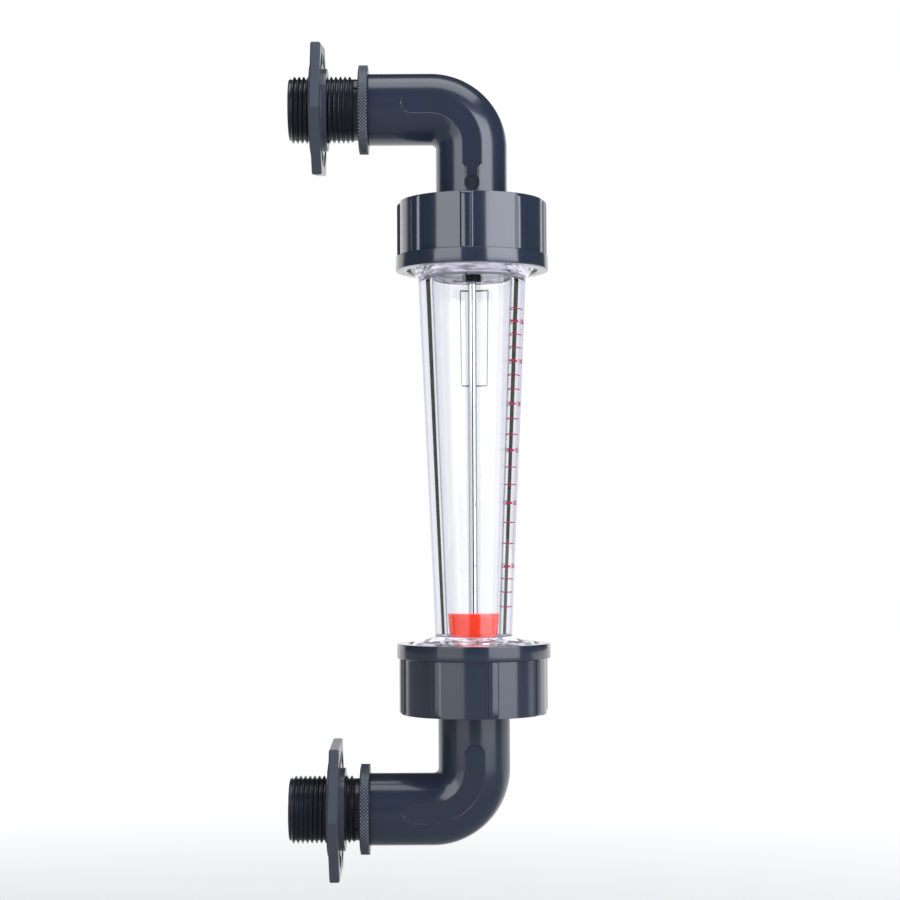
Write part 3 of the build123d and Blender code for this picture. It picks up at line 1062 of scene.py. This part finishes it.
def clear_plastic():
    # Water-clear styrene with drawn-out flow waves. The long way through the wall at its
    # edges takes a faint violet cast.
    material, tree, principled = shader(
        "clear styrene tube", Transmission_Weight=1.0, IOR=CLEAR_INDEX
    )
    facing = add_node(tree, "ShaderNodeLayerWeight", "Facing", Blend=0.5)
    edge = band(tree, facing, (0.42, 0.85), 0.0, 1.0)
    tint = blend_colours(tree, edge, (0.932, 0.941, 0.968), (0.56, 0.5, 0.93))
    haze = spread(tree, noise(tree, 90, 3), 0.0, 0.008)
    drive(tree, principled, Base_Color=tint, Roughness=haze)
    bump(tree, principled, noise(tree, 12, 1, (1, 1, 0.1)), 0.004, 0.5 * MM)
    return material


def moulded_clear_plastic():
    # The thick threaded ends of the same tube, where the moulding scatters the light. They carry a
    # painted glow in swirls, which stands in for the light the wall pipes down to them
    material, tree, principled = shader(
        "clear styrene tube end",
        Transmission_Weight=0.9,
        IOR=CLEAR_INDEX,
        Emission_Color=(*PAINTED_END_GLOW, 1),
    )
    end_glow_swirls = band(tree, noise(tree, 90, 3, (1, 1, 7)), (0.44, 0.58), 0.0, 0.42)
    clouds = blend_colours(tree, noise(tree, 45, 3), (0.88, 0.87, 0.98), (0.98, 0.97, 1.0))
    haze = spread(tree, noise(tree, 140, 3), 0.0, 0.03)
    drive(tree, principled, Emission_Strength=end_glow_swirls, Base_Color=clouds, Roughness=haze)
    bump(tree, principled, noise(tree, 40, 2), 0.03, 0.6 * MM)
    return material


def polished_steel():
    # Drawn bar: fine marks along its length. Its dark tint at grazing is painted shade at its
    # edges
    material, tree, principled = shader(
        "polished steel rod", Metallic=1.0, Specular_Tint=(*STEEL_EDGE_SHADE, 1)
    )
    marks = noise(tree, 900, 3, (1, 1, 0.03))
    colours = blend_colours(tree, marks, (0.72, 0.72, 0.74), (0.86, 0.86, 0.87))
    drive(tree, principled, Base_Color=colours, Roughness=spread(tree, marks, 0.05, 0.13))
    bump(tree, principled, marks, 0.05, 0.2 * MM)
    return material


def printing_ink(name, patch_scale, dark, light, smoothest, roughest):
    # Print that is uneven in colour and in gloss
    material, tree, principled = shader(name)
    patches = noise(tree, patch_scale, 3)
    gloss = spread(tree, patches, smoothest, roughest)
    drive(tree, principled, Base_Color=blend_colours(tree, patches, dark, light), Roughness=gloss)
    return material


def paint(obj, material):
    obj.data.materials.clear()
    obj.data.materials.append(material)
    for polygon in obj.data.polygons:
        polygon.material_index = 0


elbow_plastic = moulded_plastic("slate uPVC elbow", (0.022, 0.032, 0.056), 0.24, skin=0.45)
# The round mark recess is darker: painted shade, with a rougher gloss
mark_shade_plastic = moulded_plastic("painted shade in the mark recess", (0.013, 0.019, 0.034), 0.32, grain=0.2)
nut_plastic = moulded_plastic(
    "slate uPVC union nut", (0.024, 0.034, 0.058), 0.17, orange_peel=0.04, skin=0.8
)
nipple_plastic = moulded_plastic(
    "charcoal uPVC nipple", (0.017, 0.021, 0.032), 0.34, orange_peel=0.02, grain=0.08, skin=0.3
)
# The collar's plastic is made lighter than the nipple's: a painted sheen for the light its knurl
# catches
collar_sheen_plastic = moulded_plastic(
    "knurled collar, uPVC with painted sheen",
    (0.036, 0.045, 0.066),
    0.42,
    orange_peel=0.02,
    grain=0.08,
    skin=0.5,
)
# Painted highlight on the knurl's tips
knurl_tip_highlight_plastic = moulded_plastic("knurl tips with painted highlight", (0.17, 0.2, 0.25), 0.5, grain=0.08)
locknut_plastic = moulded_plastic(
    "grey moulded locknut", (0.047, 0.06, 0.084), 0.52, grain=0.25, skin=0.65
)
support_plastic = moulded_plastic("pale moulded support", (0.62, 0.64, 0.68), 0.35)
tailpiece_plastic = moulded_plastic("turned uPVC tailpiece", (0.03, 0.042, 0.066), 0.4, grain=0.3)
rubber = moulded_plastic("black rubber", (0.014, 0.014, 0.014), 0.7, grain=0.4)
float_plastic = moulded_plastic(
    "orange-red float",
    (0.97, 0.02, 0.001),
    0.2,
    mottling=0.05,
    orange_peel=0.03,
    grain=0.02,
    skin=0.5,
)
# Painted glow on the float
fluoresce(float_plastic, colour=(1.0, 0.036, 0.0), strength=0.42)
tube_plastic = clear_plastic()
flange_plastic = moulded_clear_plastic()
rod_steel = polished_steel()
ink = printing_ink("crimson scale ink", 700, (0.42, 0.008, 0.06), (0.6, 0.02, 0.1), 0.35, 0.55)
frame_ink = printing_ink("grey label ink", 500, (0.22, 0.22, 0.24), (0.34, 0.34, 0.36), 0.4, 0.6)


def paint_where(obj, material, chosen, height=0):
    # A second finish on the faces whose middle is chosen, by a height of reference
    obj.data.materials.append(material)
    for polygon in obj.data.polygons:
        if chosen(polygon.center, height):
            polygon.material_index = len(obj.data.materials) - 1


def in_mark(point, height):
    near = math.hypot(point.x - TUBE_X, point.z - height) < MARK_RADIUS - PAINT_MARGIN
    return near and abs(abs(point.y) - MARK_PLANE) < 2 * PAINT_MARGIN


def in_collar(point, height):
    return point.x > 0 and math.hypot(point.y, point.z - height) > SPIGOT_RADIUS + PAINT_MARGIN


def on_knurl_tip(point, height):
    return math.hypot(point.y, point.z - height) > COLLAR_RADIUS - KNURL_TIP


def in_tube_end(point, height):
    beyond = point.z < height + FLARE_ROOT or point.z > height + PORT_SPACING - FLARE_ROOT
    radius = math.hypot(point.x - TUBE_X, point.y)
    return beyond and radius > outer_radius(point.z) + 3 * PAINT_MARGIN


# Pieces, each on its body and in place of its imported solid


def place(obj, body, node, material):
    paint(obj, material)
    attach(obj, body)
    if node:
        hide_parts(node)


inlet_elbow = make_elbow("inlet_elbow_skin")
outlet_elbow = turned_over(inlet_elbow, "outlet_elbow_skin")
place(inlet_elbow, "inlet", "inlet_elbow", elbow_plastic)
place(outlet_elbow, "outlet", "outlet_elbow", elbow_plastic)
# Painted shade in each elbow's round mark recess
paint_where(inlet_elbow, mark_shade_plastic, in_mark, MARK_HEIGHT)
paint_where(outlet_elbow, mark_shade_plastic, in_mark, PORT_SPACING - MARK_HEIGHT)
# The outlet is mirrored, so its thread is made left-handed and ends right-handed
inlet_nipple = nipple_with_knurl("inlet_nipple_threaded", -1)
outlet_nipple = mirrored(nipple_with_knurl("spare nipple", 1), "outlet_nipple_threaded")
place(inlet_nipple, "inlet", "inlet_nipple", nipple_plastic)
place(outlet_nipple, "outlet", "outlet_nipple", nipple_plastic)
for nipple, height in ((inlet_nipple, 0), (outlet_nipple, PORT_SPACING)):
    # Painted sheen on the collar, painted highlight on the knurl tips
    paint_where(nipple, collar_sheen_plastic, in_collar, height)
    paint_where(nipple, knurl_tip_highlight_plastic, on_knurl_tip, height)

lower_union_nut = make_union_nut("lower_union_nut_ribbed", LOWER_RIB_ANGLE)
upper_union_nut = mirrored(make_union_nut("spare", UPPER_RIB_ANGLE), "upper_union_nut_ribbed")
place(lower_union_nut, "lower_nut", "lower_union_nut", nut_plastic)
place(upper_union_nut, "upper_nut", "upper_union_nut", nut_plastic)

inlet_locknut = eased_solid("inlet_locknut_eased", "inlet_locknut")
outlet_locknut = eased_solid("outlet_locknut_eased", "outlet_locknut")
place(inlet_locknut, "inlet_lock", "inlet_locknut", locknut_plastic)
place(outlet_locknut, "outlet_lock", "outlet_locknut", locknut_plastic)

tube = make_tube("measuring_tube_clear")
float_piece = make_float("float_turned")
rod = make_rod("guide_rod_polished")
scale = make_scale("printed_scale", ink)
label_frame = make_label_frame("label_frame", frame_ink)
place(tube, "meter", "measuring_tube", tube_plastic)
# The tube's thick ends get the finish with the painted glow
paint_where(tube, flange_plastic, in_tube_end)
place(float_piece, "float", "float_body", float_plastic)
place(rod, "meter", "guide_rod", rod_steel)
place(scale, "meter", None, ink)
place(label_frame, "meter", None, frame_ink)

solid_finishes = (
    (tailpiece_plastic, ("inlet_tailpiece", "outlet_tailpiece")),
    (support_plastic, ("lower_rod_support", "upper_rod_support")),
    (rod_steel, ("lower_rod_nut", "upper_rod_nut")),
    (rubber, ("inlet_seal_ring", "outlet_seal_ring", "lower_stop_buffer", "upper_stop_buffer")),
)
for finish, names in solid_finishes:
    for name in names:
        paint(nodes[name], finish)


# Camera at the photograph's place

camera_data = bpy.data.cameras.new("camera")
camera_data.lens = CAMERA_LENS
camera_data.sensor_width = CAMERA_SENSOR
camera = new_object("camera", camera_data)
tilt = Matrix.Rotation(math.pi / 2 + CAMERA_PITCH, 4, "X")
roll = Matrix.Rotation(CAMERA_ROLL, 4, "Z")
camera.matrix_world = Matrix.Translation(CAMERA_PLACE) @ tilt @ roll
bpy.context.scene.camera = camera


# Floor, world and lamps


def dark_sides(tree, sideways):
    # 1 inside the studio's two upright dark flags, by the sideways part of a direction
    left_flag = band(tree, sideways, LEFT_FLAG_START, 1.0, 0.0)
    left_end = band(tree, sideways, LEFT_FLAG_END, 1.0, 0.0)
    right_flag = band(tree, sideways, RIGHT_FLAG_START, 0.0, 1.0)
    right_end = band(tree, sideways, RIGHT_FLAG_END, 0.0, 1.0)
    left = calculate(tree, "SUBTRACT", left_flag, left_end)
    right = calculate(tree, "SUBTRACT", right_flag, right_end)
    return calculate(tree, "ADD", left, right)


def joined_shaders(tree, kind, *parts):
    made = tree.nodes.new(kind)
    for socket, part in zip(made.inputs, parts):
        tree.links.new(part, socket)
    return made.outputs[0]


def glow(tree, strength):
    return add_node(tree, "ShaderNodeEmission", Strength=strength)


def floor_in_gloss(tree, glass_ray, backward, sideways):
    # Bright behind the object like the backdrop, for glass over its whole width, else dim
    beside = band(tree, sideways, BACKDROP_LEFT, 0.0, 1.0)
    wide = calculate(tree, "MAXIMUM", beside, glass_ray)
    behind = calculate(tree, "MULTIPLY", band(tree, backward, FLOOR_BEHIND, 0.0, 1.0), wide)
    return glow(tree, switched(tree, behind, FLOOR_IN_GLOSS, FLOOR_BEHIND_IN_GLOSS))


def floor_material():
    # Pale floor: it glows enough to meet the white background and keeps the object's shadow.
    # The dark flags stand on it for what is seen through glass.
    material, tree, principled = shader("pale floor", Roughness=0.9)
    grain = blend_colours(tree, noise(tree, 14, 3), (0.84, 0.84, 0.85), (0.9, 0.9, 0.9))
    drive(tree, principled, Base_Color=grain)
    path = tree.nodes.new("ShaderNodeLightPath").outputs
    glass_ray = path["Is Transmission Ray"]
    position = tree.nodes.new("ShaderNodeNewGeometry").outputs["Position"]
    axes = add_node(tree, "ShaderNodeSeparateXYZ", Vector=position).node.outputs
    length = tree.nodes.new("ShaderNodeVectorMath")
    length.operation = "LENGTH"
    tree.links.new(position, length.inputs[0])
    distance = length.outputs["Value"]
    near = band(tree, distance, FLOOR_GLOW_SPAN, FLOOR_GLOW_NEAR, FLOOR_GLOW)
    lasting = switched(tree, path["Is Diffuse Ray"], 1.0, 0.0)
    shining = glow(tree, calculate(tree, "MULTIPLY", near, lasting))
    lit = joined_shaders(tree, "ShaderNodeAddShader", principled.outputs["BSDF"], shining)
    sideways = calculate(tree, "DIVIDE", axes["X"], distance)
    glossy = floor_in_gloss(tree, glass_ray, axes["Y"], sideways)
    seen = joined_shaders(tree, "ShaderNodeMixShader", path["Glossy Depth"], lit, glossy)
    flagged = calculate(tree, "MULTIPLY", glass_ray, dark_sides(tree, sideways))
    flag = glow(tree, FLAG_LIGHT)
    surface = joined_shaders(tree, "ShaderNodeMixShader", flagged, seen, flag)
    tree.links.new(surface, tree.nodes["Material Output"].inputs["Surface"])
    return material


def make_floor():
    corners = [(-1, -1), (1, -1), (1, 1), (-1, 1)]
    vertices = [(x * FLOOR_REACH, y * FLOOR_REACH, FLOOR_HEIGHT) for x, y in corners]
    floor = new_object("floor", mesh_of("floor", vertices, [(0, 1, 2, 3)]))
    paint(floor, floor_material())


def make_world():
    # White for the camera. Gloss sees white low behind the object, glass sees it with the
    # studio's dark flags at both sides, and diffuse light from the room is dim.
    world = bpy.data.worlds.new("studio")
    world.use_nodes = True
    bpy.context.scene.world = world
    tree = world.node_tree
    direction = tree.nodes.new("ShaderNodeTexCoord").outputs["Generated"]
    axes = add_node(tree, "ShaderNodeSeparateXYZ", Vector=direction).node.outputs
    path = tree.nodes.new("ShaderNodeLightPath").outputs
    glass_ray = path["Is Transmission Ray"]
    backdrop = combine(
        tree,
        "MULTIPLY",
        band(tree, axes["Y"], BACKDROP_DEPTH, 0.0, 1.0),
        band(tree, axes["X"], BACKDROP_LEFT, 0.0, 1.0),
        band(tree, axes["X"], BACKDROP_RIGHT, 1.0, 0.0),
        band(tree, axes["Z"], BACKDROP_TOP, 1.0, 0.0),
        switched(tree, glass_ray, 1.0, 0.0),
    )
    beside_flags = switched(tree, dark_sides(tree, axes["X"]), 1.0, FLAG_LIGHT)
    between_lamps = band(tree, axes["Y"], LAMP_FIELD, 1.0, 0.0)
    turned_back = calculate(tree, "MULTIPLY", between_lamps, path["Glossy Depth"])
    past_lamps = switched(tree, turned_back, 1.0, 0.0)
    glass = combine(tree, "MULTIPLY", glass_ray, beside_flags, past_lamps)
    grey = switched(tree, glass_ray, ROOM_GREY, FLAG_LIGHT)
    seen = combine(tree, "MAXIMUM", backdrop, glass, path["Is Camera Ray"], grey)
    dim = switched(tree, path["Is Diffuse Ray"], 1.0, ROOM_LIGHT)
    background = tree.nodes["Background"]
    background.inputs["Color"].default_value = (1, 1, 1, 1)
    tree.links.new(calculate(tree, "MULTIPLY", seen, dim), background.inputs["Strength"])


def area_lamp(name, location, width, height, power, tint):
    # A rectangular lamp, shining down until it is turned
    data = bpy.data.lights.new(name, "AREA")
    data.shape = "RECTANGLE"
    data.size = width
    data.size_y = height
    data.energy = power
    data.color = tint
    lamp = new_object(name, data)
    lamp.location = location
    return lamp


def softbox(name, azimuth, middle, width, height, power, tint):
    # A lamp at an angle round the object from the camera side toward +X, facing its axis
    turn = math.radians(azimuth)
    x = TUBE_X + LAMP_DISTANCE * math.sin(turn)
    y = -LAMP_DISTANCE * math.cos(turn)
    lamp = area_lamp(name, (x, y, middle), width, height, power, tint)
    inward = Vector((TUBE_X, 0, middle)) - lamp.location
    lamp.rotation_euler = inward.to_track_quat("-Z", "Y").to_euler()


def side_lamps(name, azimuth, width, tint, power, low_power):
    # A tall softbox with a weaker low one under it
    softbox(name, azimuth, TALL_LAMP_MIDDLE, width, TALL_LAMP_HEIGHT, power, tint)
    softbox(name + ", low", azimuth, LOW_LAMP_MIDDLE, width, LOW_LAMP_HEIGHT, low_power, tint)


make_floor()
make_world()
side_lamps("left softbox", azimuth=-37, width=1.25, tint=LEFT_TINT, power=11, low_power=1.9)
side_lamps("right softbox", azimuth=46, width=1.45, tint=RIGHT_TINT, power=21, low_power=4.6)
area_lamp("overhead softbox", OVERHEAD_PLACE, width=1.3, height=1.0, power=9, tint=LEFT_TINT)

bpy.context.scene.view_settings.view_transform = "Standard"
